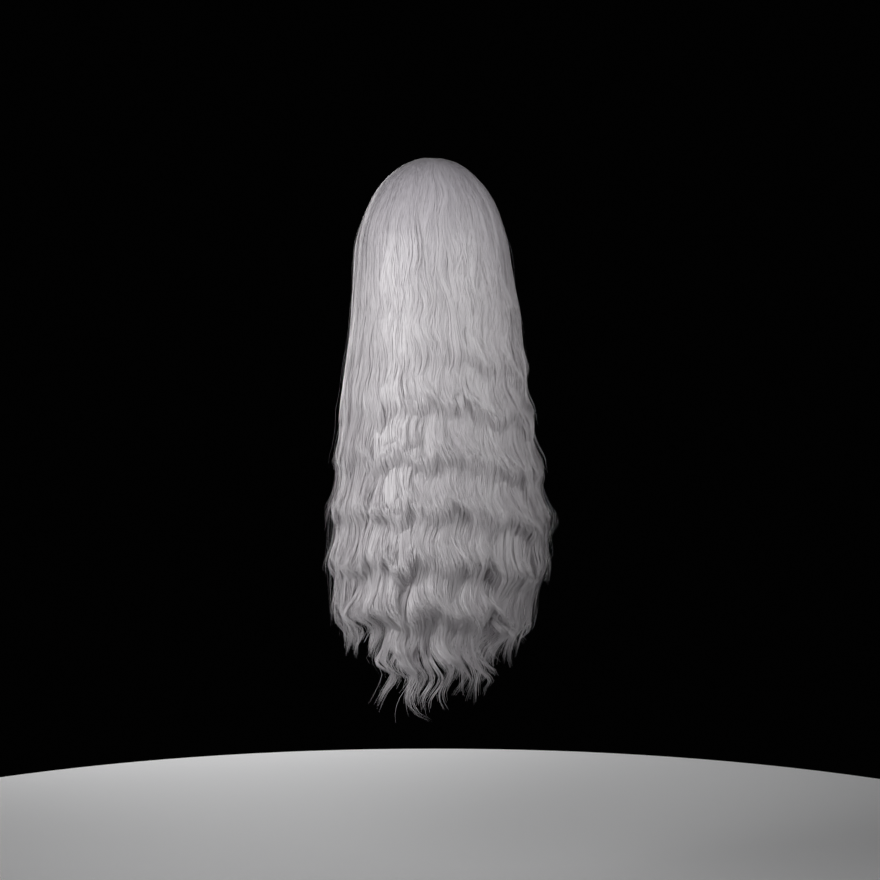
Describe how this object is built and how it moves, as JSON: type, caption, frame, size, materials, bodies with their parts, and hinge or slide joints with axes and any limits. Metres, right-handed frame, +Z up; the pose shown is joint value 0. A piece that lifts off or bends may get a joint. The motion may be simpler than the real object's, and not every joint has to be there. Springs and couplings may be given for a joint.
{
  "type": "lace front wig",
  "caption": "Long silver-white wavy lace front wig: an open net cap, a lace strip at the hairline and hair parted in the middle that falls to the waist in pointed locks.",
  "frame": {"origin": "inner crown of the cap, where the top of a head seats", "axes": "+Z up out of the crown, the face opens towards -Y, +X towards the wearer's left"},
  "size_m": [0.2618, 0.2249, 0.6579],
  "materials": {
    "hair_fibre": "silver-white synthetic fibre, soft sheen",
    "cap_net": "white stretch net with rows of sewn wefts",
    "front_lace": "sheer skin-toned lace"
  },
  "bodies": {
    "root": {"wig_cap": "cap_net", "lace_front": "front_lace", "hair_back": "hair_fibre", "hair_nape": "hair_fibre", "hair_left": "hair_fibre", "hair_right": "hair_fibre"}
  },
  "joints": []
}
